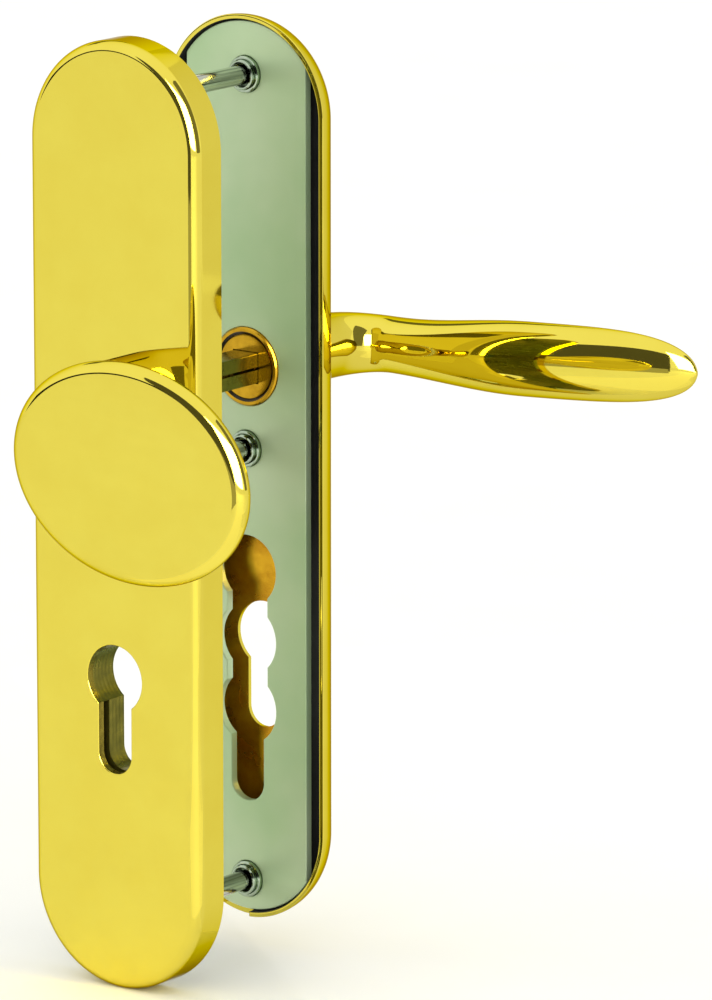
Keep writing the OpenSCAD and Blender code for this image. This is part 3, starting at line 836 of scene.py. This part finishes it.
@dataclass
class InsidePlate(Plate):
    """Brass cover of the inside, on its zinc-plated base plate with three bolts in collars."""

    side: Side = Side.INSIDE
    width: float = 51.0
    bottom: float = -146.0
    rim_y: float = 43.0
    depth: float = 9.5
    edge_r: float = 9.0
    edge_steps: int = 18
    wall: float = 1.3
    # Half-width beyond which the inner floor gets the black painted shade.
    painted_shade_from: float = 14.0
    hole_r: float = 10.45
    notch_x: float = -4.0
    notch_w: float = 10.0
    notch_depth: float = 2.2
    base_y: float = 44.0
    base_t: float = 2.2
    base_w: float = 38.5
    base_inset: float = 1.84
    fit: float = 0.05
    lobe_r: float = 9.3
    lobe_pitch: float = 18.3
    lobe_neck_w: float = 13.0
    bush_r: float = 10.25
    bush_bore_r: float = 8.55
    bush_proud: float = 0.6
    bush_groove: float = 0.6
    bush_break: float = 0.35
    bush_collar_r: float = 11.8
    bush_back: float = 50.8
    bush_sides: int = 96
    bolt_r: float = 2.5
    bolt_tip: float = 2.0
    bolt_break: float = 0.5
    bolt_thread_l: float = 18.0
    bolt_sides: int = 40
    thread_pitch: float = 0.8
    thread_depth: float = 0.48
    thread_sides: int = 24
    ridge_r: float = 0.336
    ridge_in: float = 0.288
    ridge_start: float = 0.6
    ridge_less: float = 1.0
    bolt_head_r: float = 5.3
    bolt_head_h: float = 3.2
    bolt_key: float = 4.0
    collar_r: float = 4.7
    collar_bore_r: float = 3.1
    collar_step: float = 0.8
    collar_l: float = 2.4
    collar_break: tuple[float, float] = (0.25, 0.3)
    ledge_break: float = 0.2
    ledge_groove: float = 0.15

    def build(self) -> None:
        """Builds the cover, base plate, bush, bolts and collars and dresses the hidden pieces."""
        self.cover()
        self.base_plate()
        self.bush()
        self.repeat(self.collar(), "bolt_collar")
        self.repeat(self.bolt(), "fixing_bolt")
        for node, finish in (("snap_ring", FINISH.wire), ("return_spring", FINISH.wire),
                             ("spring_peg", FINISH.steel), ("glide_ring", FINISH.nylon)):
            dress(node, finish)

    def cover(self) -> None:
        """Presses the cover, paints shade black on its inner edges and cuts its holes and pry notch."""
        piece = self.pressed("inside_cover_shell", FINISH.brass, FINISH.drawn_brass, FINISH.scale)
        front = self.rim_y + self.depth
        floor = front - self.wall
        # Painted shade: the inner walls, and the inner floor outside the base plate's width, get the black
        # finish.
        with piece.editing():
            for x in (-self.painted_shade_from, self.painted_shade_from):
                piece.pick(Kind.FACE, lambda p: p.y > floor - NEAR, finish=FINISH.drawn_brass, which=any)
                bpy.ops.mesh.bisect(plane_co=mm(x, 0, 0), plane_no=(1, 0, 0))
            piece.pick(Kind.FACE, lambda p: p.y < floor - NEAR or abs(p.x) > self.painted_shade_from + NEAR,
                       finish=FINISH.drawn_brass, which=any)
            piece.give(FINISH.scale)
        y0, y1, half = front - CLEAR, front + CLEAR, self.notch_w / 2
        piece.cut(*self.cutout.cutters(y0, y1), drill(0, 0, self.hole_r, y0, y1),
                  block((self.notch_x - half, self.rim_y - CLEAR, self.bottom - CLEAR),
                        (self.notch_x + half, self.rim_y + self.notch_depth, self.bottom + 2 * CLEAR)))
        with piece.editing():
            piece.merge()
            piece.pick(Kind.EDGE, lambda p: p.y < self.rim_y + NEAR, sharp=SHARP)
            piece.bevel(self.rim_break, 2)
            self.break_cutout(piece)
        piece.settle(Body.PLATES, "polished_brass", "inside_cover")

    def base_plate(self) -> None:
        """Cuts the base plate: outline trimmed to its width, lobed cut-out, holes and broken edges."""
        inset = self.base_inset
        piece = round_ended("inside_base_sheet", self.width - 2 * inset, self.top - inset,
                            self.bottom + inset, self.base_y, Side.OUTSIDE).paint(FINISH.zinc)
        with piece.editing():
            for sign in (-1, 1):
                piece.pick_all()
                bpy.ops.mesh.bisect(plane_co=mm(sign * self.base_w / 2, 0, 0), plane_no=(sign, 0, 0),
                                    clear_outer=True)
            piece.extrude((0, self.base_t, 0))
            piece.turn_outwards()
        y0, y1 = self.base_y - CLEAR, self.base_y + self.base_t + CLEAR
        drop, pitch, half = self.cutout.drop, self.lobe_pitch, self.lobe_neck_w / 2
        foot = -drop - pitch - self.cutout.height + self.cutout.diameter / 2
        piece.cut(*[drill(0, -drop + i * pitch, self.lobe_r, y0, y1) for i in (-1, 0, 1)],
                  block((-half, y0, -drop - pitch), (half, y1, -drop + pitch)),
                  self.cutout.slot(y0, y1, -drop - pitch, foot),
                  drill(0, 0, self.bush_r + self.fit, y0, y1),
                  *[drill(0, z, self.collar_r + self.fit, y0, y1) for z in self.heights])
        with piece.editing():
            piece.merge()
            piece.pick(Kind.EDGE, lambda p: p.y < self.base_y + NEAR, sharp=SHARP)
            piece.bevel(self.rim_break, self.rim_steps)
        piece.settle(Body.PLATES, "zinc_plated_steel", "inside_base_plate")

    def bush(self) -> None:
        """Turns the bush that the lever's neck runs in and paints shade dark into the groove round the neck.
        """
        y0, y1, back = self.base_y - self.bush_proud, self.base_y + self.base_t, self.bush_back
        bore, out, groove, collar = self.bush_bore_r, self.bush_r, self.bush_groove, self.bush_collar_r
        profile = [(bore, back), (bore, y0 + groove), (bore + groove, y0), (out - self.bush_break, y0),
                   (out, y0 + self.bush_break), (out, y1), (collar, y1), (collar, back)]
        piece = Workpiece("lever_bush_turned").turn_up(profile, self.bush_sides)
        piece.paint(FINISH.turned, FINISH.groove_shade)
        # Painted shade: the groove's faces get the dark matt tone.
        with piece.editing():
            piece.pick(Kind.FACE, lambda p: p.y < y0 + groove + NEAR
                       and math.hypot(p.x, p.z) < bore + groove + NEAR)
            piece.give(FINISH.groove_shade)
        piece.settle(Body.PLATES, "turned_brass", "lever_bush")

    def collar(self) -> Workpiece:
        """Turns one stepped collar with a groove behind its lip.

        Returns:
            The collar on the Y axis.
        """
        bore, out, back = self.collar_bore_r, self.collar_r, self.base_y + self.base_t
        lip, end, ledge = out - self.collar_step, self.base_y - self.collar_l, self.base_y - self.collar_l / 2
        (break_r, break_y), ease = self.collar_break, self.ledge_break
        profile = [(bore, back), (bore, end + break_y), (bore + break_r, end), (lip - break_r, end),
                   (lip, end + break_y), (lip, ledge + ease), (lip + self.ledge_groove, ledge),
                   (out - ease, ledge), (out, ledge + ease), (out, back)]
        return Workpiece("bolt_collar_blank").turn_up(profile).paint(FINISH.steel)

    def bolt(self) -> Workpiece:
        """Turns one bolt and winds its thread on the end that screws into the post.

        Returns:
            The bolt on the Y axis.
        """
        radius, head, tip = self.bolt_r, self.bolt_head_r, self.bolt_tip
        ease, head_ease, pitch = self.bolt_break, self.rim_break, self.thread_pitch
        core = radius - self.thread_depth
        end, face = tip + self.bolt_thread_l, self.base_y + self.base_t
        top = face + self.bolt_head_h
        profile = [(0, tip), (core - ease, tip), (core, tip + ease), (core, end), (radius, end + ease),
                   (radius, face - self.fit), (radius + head_ease, face), (head - head_ease, face),
                   (head, face + head_ease), (head, top - ease), (head - ease, top), (0, top)]
        # The bolt's streaked finish carries painted reflections along it.
        piece = Workpiece("fixing_bolt_blank").turn_up(profile, self.bolt_sides).paint(FINISH.reflection_streaked_steel)
        hexagon = drill(0, 0, self.bolt_key / math.sqrt(3), top - self.bolt_key / 2, top + CLEAR, 6)
        piece.cut(hexagon)
        ridge = Workpiece("thread").add(
            bpy.ops.mesh.primitive_circle_add, vertices=3, radius=self.ridge_r * MM,
            location=mm(radius - self.ridge_in, tip + self.ridge_start, 0), rotation=(0, 0, -math.pi / 2))
        ridge.modify("SCREW", axis="Y", angle=2 * math.pi, screw_offset=pitch * MM, steps=self.thread_sides,
                     render_steps=self.thread_sides, use_merge_vertices=False,
                     iterations=int((self.bolt_thread_l - self.ridge_less) / pitch))
        with ridge.editing():
            ridge.turn_outwards()
        return piece.join(ridge.paint(FINISH.reflection_streaked_steel))


@dataclass
class Lever:
    """Lever handle with its neck, split square spindle and fastenings."""

    base_y: float = InsidePlate.base_y
    length: float = 105.4
    stand: float = 45.0
    grip_h: float = 19.7
    grip_t: float = 14.0
    thin_from: float = 25.0
    waist_h: float = 14.8
    rise: float = 3.0
    out: float = 6.0
    tip_l: float = 60.0
    tip_power: float = 5.0
    fullest: float = 0.44
    bend_r: float = 14.0
    neck_r: float = 8.5
    neck_end: float = -0.3
    foot_z: float = 9.9
    foot_r: float = 12.0
    foot_l: float = 11.0
    stem_r: float = 8.65
    socket: float = 8.3
    spindle: float = 8.0
    spindle_reach: float = 34.0
    spindle_end: float = 31.8
    slit: float = 0.8
    slit_end: float = 9.5
    spindle_tip: float = 0.9
    spindle_break: float = 0.45
    socket_l: float = 6.0
    grub_at: float = 22.0
    grub_r: float = 3.05
    grub_sides: int = 48
    neck_mid: float = 3.0
    neck_break: Profile = ((0.0, 0.4), (0.1, 0.15), (0.4, 0.0))
    foot_fillet: Profile = ((-0.3, 0.0), (-0.1, 0.1), (0.0, 0.4))
    foot_break: Profile = ((0.0, 0.4), (0.1, 0.1), (0.4, 0.0))
    thinnest: float = 0.06
    sides: int = 56
    stem_steps: int = 10
    bend_steps: int = 12
    grip_steps: int = 28

    def rings(self) -> list[Ring]:
        """Lists the rings of neck, foot, stem, bend and grip.

        Returns:
            The rings from the bush to the tip.
        """
        y, neck, foot = self.base_y, self.neck_r, self.foot_z
        corners = [*[(self.neck_end + d, neck - r) for d, r in self.neck_break], (self.neck_mid, neck),
                   *[(foot + d, neck + r) for d, r in self.foot_fillet],
                   *[(foot + d, self.foot_r - r) for d, r in self.foot_break]]
        rings = [Ring((0, y + d, 0), r, r) for d, r in corners]
        stem, bend = corners[-1][0], self.stand - self.bend_r
        for share in steps(self.stem_steps):
            d = stem + (bend - stem) * share
            r = self.foot_r + (self.stem_r - self.foot_r) * smooth_step((d - foot) / self.foot_l)
            rings.append(Ring((0, y + d, 0), r, r))
        for step in steps(self.bend_steps):
            share = smooth_step(step)
            angle = math.pi / 2 * step
            centre = (self.bend_r * (1 - math.cos(angle)), y + bend + self.bend_r * math.sin(angle), 0)
            rings.append(Ring(centre, self.stem_r + (self.grip_t / 2 - self.stem_r) * share,
                              self.stem_r + (self.waist_h / 2 - self.stem_r) * share, math.degrees(angle)))
        for step in steps(self.grip_steps):
            share = math.sin(math.pi / 2 * step)
            x = self.bend_r + (self.length - self.bend_r) * share
            tip = max(0.0, x - self.length + self.tip_l) / self.tip_l
            thin = max(0.0, x - self.thin_from) / (self.length - self.thin_from)
            half_h = self.waist_h / 2 + (self.grip_h - self.waist_h) / 2 * smooth_step(share / self.fullest)
            centre = (x, y + self.stand + self.out * share * share, self.rise * smooth_step(share))
            rings.append(Ring(centre, self.grip_t / 2 * self.round_off(thin, 2),
                              half_h * self.round_off(tip, self.tip_power), 90))
        return rings

    def round_off(self, share: float, power: float) -> float:
        """Finds what share of its thickness the grip keeps, a share of the way to the tip."""
        return max(self.thinnest, math.sqrt(max(0.0, 1 - share ** power)))

    def build(self) -> None:
        """Builds the handle and the spindle and dresses their fastenings."""
        self.handle()
        self.split_spindle()
        dress("grub_screw", FINISH.steel)
        dress("stop_pin", FINISH.steel)

    def handle(self) -> None:
        """Lofts the handle, smooths it and sinks the spindle's square socket."""
        piece = Workpiece("lever_handle_cast").loft(self.rings(), self.sides)
        piece.paint(FINISH.brass, FINISH.turned).modify("SUBSURF", levels=1, render_levels=1)
        half, y = self.socket / 2, self.base_y
        grub = Workpiece("cutter").add(
            bpy.ops.mesh.primitive_cylinder_add, vertices=self.grub_sides, radius=self.grub_r * MM,
            depth=self.foot_r * MM, location=mm(0, y + self.grub_at, -half - self.foot_r / 2))
        piece.cut(block((-half, y - CLEAR, -half), (half, y + self.socket_l, half)), grub)
        with piece.editing():
            piece.pick(Kind.FACE, lambda p: p.y < y + self.foot_z)
            piece.give(FINISH.turned)
        piece.settle(Body.LEVER, "polished_brass", "lever_handle", angle=50)

    def split_spindle(self) -> None:
        """Shapes the square bar, breaks its edges and saws the slit."""
        half, y0, y1 = self.spindle / 2, self.base_y - self.spindle_reach, self.base_y + self.spindle_end
        piece = block((-half, y0, -half), (half, y1, half)).paint(FINISH.spindle)
        piece.rename("square_spindle_bar")
        with piece.editing():
            piece.pick(Kind.EDGE, lambda p: p.y < y0 + NEAR)
            piece.bevel(self.spindle_tip, 1)
            piece.pick(Kind.EDGE, lambda p: p.y > y0 + self.spindle_break, sharp=SHARP)
            piece.bevel(self.spindle_break, 2)
        piece.cut(block((-self.spindle, y0 - CLEAR, -self.slit / 2),
                        (self.spindle, self.base_y + self.slit_end, self.slit / 2)))
        piece.settle(Body.LEVER, "plated_spindle", "square_spindle")


@dataclass(frozen=True)
class Stand:
    """Something round the set that faces its middle: its bearing in degrees, its sizes in metres."""

    name: str
    azimuth: float
    elevation: float
    distance: float
    width: float
    height: float


@dataclass(frozen=True)
class Softbox(Stand):
    """An area light that reflections don't show."""

    radiance: float


@dataclass(frozen=True)
class Card(Stand):
    """A studio card that only reflections show: black, or white with a glow."""

    glow: float = 0.0
    flat: bool = False
    skips: tuple[str, ...] = ()


@dataclass
class Studio:
    """Pale floor, soft light, cards for the polished brass to reflect, and the camera."""

    middle: Point = (30.0, 10.0, -30.0)
    floor_z: float = OutsidePlate.bottom
    floor_size: float = 16000.0
    card_lift: float = 0.5
    sky: float = 1.18
    sky_tone: str = "#fffffb"
    glow_tone: str = "#fffdf4"
    camera_at: Point = (1266.8, -1556.5, 424.7)
    camera_aim: Point = (77.1, -10.1, -14.9)
    camera_sees: float = 50000.0
    focal_px: float = 8126.8
    image_px: float = 1000.0
    sensor: float = 36.0
    softboxes: tuple[Softbox, ...] = (
        Softbox("key_softbox", 42, 42, 1.3, 0.5, 0.5, 1.5),
        Softbox("gap_fill", -58, 5, 0.9, 0.4, 0.3, 6.0),
        Softbox("back_fill", 128, 8, 0.9, 0.4, 0.3, 5.0),
    )
    cards: tuple[Card, ...] = (
        Card("horizon_card", -30, 3.6, 1.75, 2.4, 0.27),
        Card("near_card", -9, 14, 0.62, 0.4, 0.5, 0.08),
        Card("near_board", -9, -7, 0.62, 0.36, 0.094, 0.45),
        Card("right_card", 92, 33, 0.95, 0.8, 1.25, 0.2),
        Card("rear_board", 165, 20, 0.75, 1.0, 0.8, 0.9),
        Card("rear_floor_board", 142, 0, 0.46, 0.7, 0.9, 0.92, flat=True),
        Card("front_floor_board", 36, 0, 0.36, 0.36, 0.6, 1.18, flat=True),
        Card("back_left_card", -115, 42, 0.9, 0.6, 0.12, 0.15),
        Card("key_card", 36, 22, 1.3, 1.27, 1.05, 14.0, skips=STEEL_PIECES),
    )

    def spot(self, stand: Stand) -> Vector:
        """Finds where something stands, in metres, from its bearing round the set's middle."""
        a, e = math.radians(stand.azimuth), math.radians(stand.elevation)
        way = Vector((math.sin(a) * math.cos(e), -math.cos(a) * math.cos(e), math.sin(e)))
        return Vector(mm(*self.middle)) + way * stand.distance

    def aim(self, place: Vector, target: Point, axis: str) -> Euler:
        """Finds the turn with which one axis of an object looks from a place at a target."""
        return (Vector(mm(*target)) - place).to_track_quat(axis, "Y").to_euler()

    def build(self) -> None:
        """Sets the floor, the sky, the lights, the cards and the camera."""
        self.floor()
        self.sky_dome()
        for box in self.softboxes:
            self.softbox(box)
        for card in self.cards:
            self.card(card)
        self.camera()

    def floor(self) -> None:
        """Lays a wide pale floor under the set."""
        bpy.ops.object.select_all(action="DESELECT")
        bpy.ops.mesh.primitive_plane_add(size=self.floor_size * MM, location=mm(0, 0, self.floor_z))
        floor = bpy.context.active_object
        floor.name = "floor"
        floor.data.materials.append(FINISH.board.material())

    def sky_dome(self) -> None:
        """Gives an even white surround, as in a light tent."""
        world = bpy.data.worlds.new("light_tent")
        world.use_nodes = True
        back = world.node_tree.nodes["Background"]
        set_inputs(back, Color=hex_colour(self.sky_tone), Strength=self.sky)
        bpy.context.scene.world = world
        bpy.context.scene.view_settings.view_transform = "Standard"

    def leave_out(self, light: bpy.types.Object, names: Sequence[str]) -> None:
        """Keeps the light of a lamp or card off some pieces.

        Args:
            light: The lamp or glowing card.
            names: Pieces that it doesn't light.
        """
        left_out = bpy.data.collections.new(f"not_lit_by_{light.name}")
        for name in names:
            left_out.objects.link(bpy.data.objects[name])
        for entry in left_out.collection_objects:
            entry.light_linking.link_state = "EXCLUDE"
        light.light_linking.receiver_collection = left_out

    def softbox(self, box: Softbox) -> None:
        """Hangs one area light, aims it at the set's middle and keeps it off the floor."""
        area = bpy.data.lights.new(box.name, "AREA")
        area.shape = "RECTANGLE"
        area.size, area.size_y = box.width, box.height
        area.energy = box.radiance * box.width * box.height * math.pi
        lamp = bpy.data.objects.new(box.name, area)
        bpy.context.scene.collection.objects.link(lamp)
        lamp.location = self.spot(box)
        lamp.rotation_euler = self.aim(lamp.location, self.middle, "-Z")
        lamp.visible_glossy = False
        self.leave_out(lamp, ("floor",))

    def card(self, card: Card) -> None:
        """Stands one card, black or glowing, that only reflections see."""
        place = self.spot(card)
        turn = self.aim(place, self.middle, "Z")
        if card.flat:
            place.z, turn = (self.floor_z + self.card_lift) * MM, (0, 0, math.radians(card.azimuth))
        bpy.ops.object.select_all(action="DESELECT")
        bpy.ops.mesh.primitive_plane_add(size=1.0, location=place, rotation=turn)
        board = bpy.context.active_object
        board.name = card.name
        board.scale = (card.width, card.height, 1)
        face = replace(FINISH.card, name=f"{card.name}_face").material()
        shader = face.node_tree.nodes["Principled BSDF"]
        set_inputs(shader, Emission_Color=hex_colour(self.glow_tone), Emission_Strength=card.glow)
        board.data.materials.append(face)
        board.visible_camera = board.visible_diffuse = False
        board.visible_shadow = board.visible_transmission = False
        if card.skips:
            self.leave_out(board, card.skips)

    def camera(self) -> None:
        """Sets the long-lens camera at the photograph's viewing angle."""
        data = bpy.data.cameras.new("camera")
        data.sensor_width = self.sensor
        data.lens = self.focal_px * self.sensor / self.image_px
        data.clip_end = self.camera_sees * MM
        camera = bpy.data.objects.new("camera", data)
        bpy.context.scene.collection.objects.link(camera)
        camera.location = mm(*self.camera_at)
        camera.rotation_euler = self.aim(camera.location, self.camera_aim, "-Z")
        bpy.context.scene.camera = camera


def main() -> None:
    """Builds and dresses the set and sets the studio."""
    logging.basicConfig(level=logging.INFO, format="%(message)s")
    for assembly in (OutsidePlate(), Knob(), InsidePlate(), Lever()):
        LOG.info("building %s", type(assembly).__name__)
        assembly.build()
    Studio().build()


if __name__ == "__main__":
    main()
